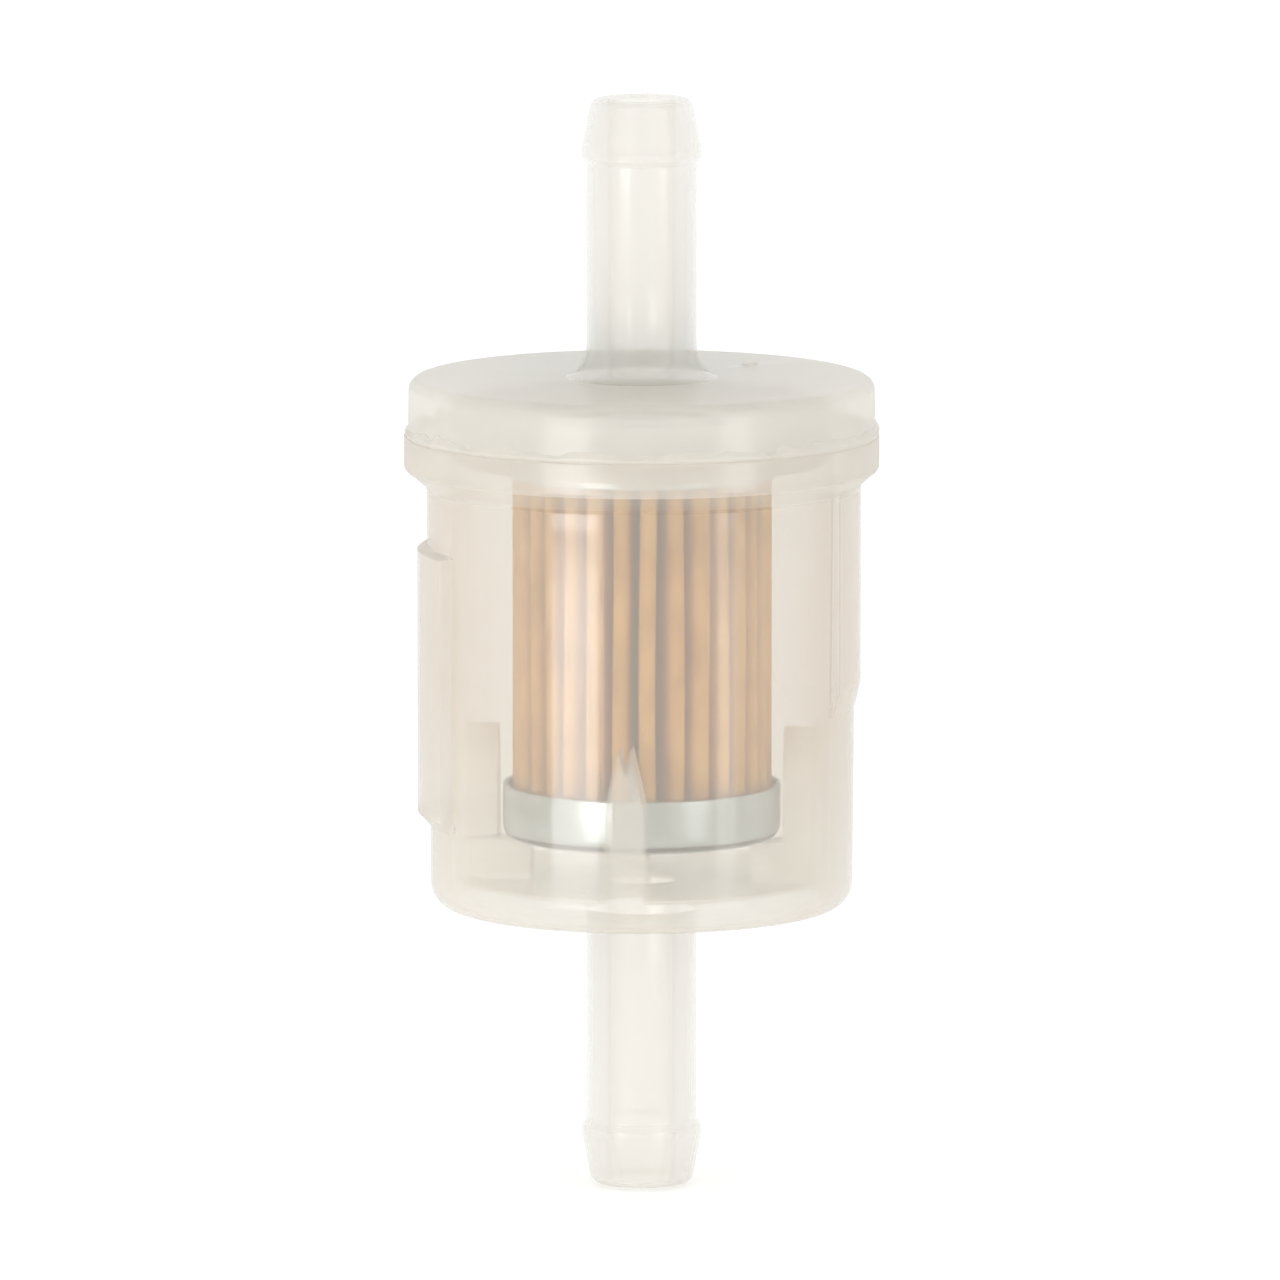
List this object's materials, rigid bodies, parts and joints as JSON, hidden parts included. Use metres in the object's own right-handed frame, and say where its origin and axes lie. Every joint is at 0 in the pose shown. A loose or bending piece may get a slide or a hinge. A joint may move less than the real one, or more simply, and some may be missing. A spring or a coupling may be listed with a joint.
{
  "type": "inline fuel filter",
  "caption": "Small translucent inline fuel filter with a barbed hose stem at each end, a welded lid and a pleated paper element with metal end caps inside.",
  "frame": {"origin": "centre of the inlet stem's end face, on the flow axis", "axes": "+Z along the flow axis from the inlet (bottom) to the outlet (top); -X towards the long raised side pad; -Y towards the viewer"},
  "size_m": [0.0286, 0.0286, 0.0656],
  "materials": {
    "housing_plastic": "milky translucent moulded plastic, soft gloss",
    "filter_paper": "tan resin-treated pleated paper, matt, fibrous",
    "plated_steel": "thin drawn sheet, bright zinc plate with a faint green-grey cast",
    "cured_adhesive": "cured cast adhesive, satin",
    "seal_rubber": "matt natural-coloured moulded rubber"
  },
  "bodies": {
    "root": {"inlet_stem": "housing_plastic", "inlet_bowl": "housing_plastic", "outlet_lid": "housing_plastic", "outlet_stem": "housing_plastic", "pleated_paper": "filter_paper", "lower_end_cap": "plated_steel", "upper_end_cap": "plated_steel", "core_tube": "plated_steel", "seam_clip": "plated_steel", "lower_potting": "cured_adhesive", "upper_potting": "cured_adhesive", "outlet_seal": "seal_rubber"}
  },
  "joints": []
}
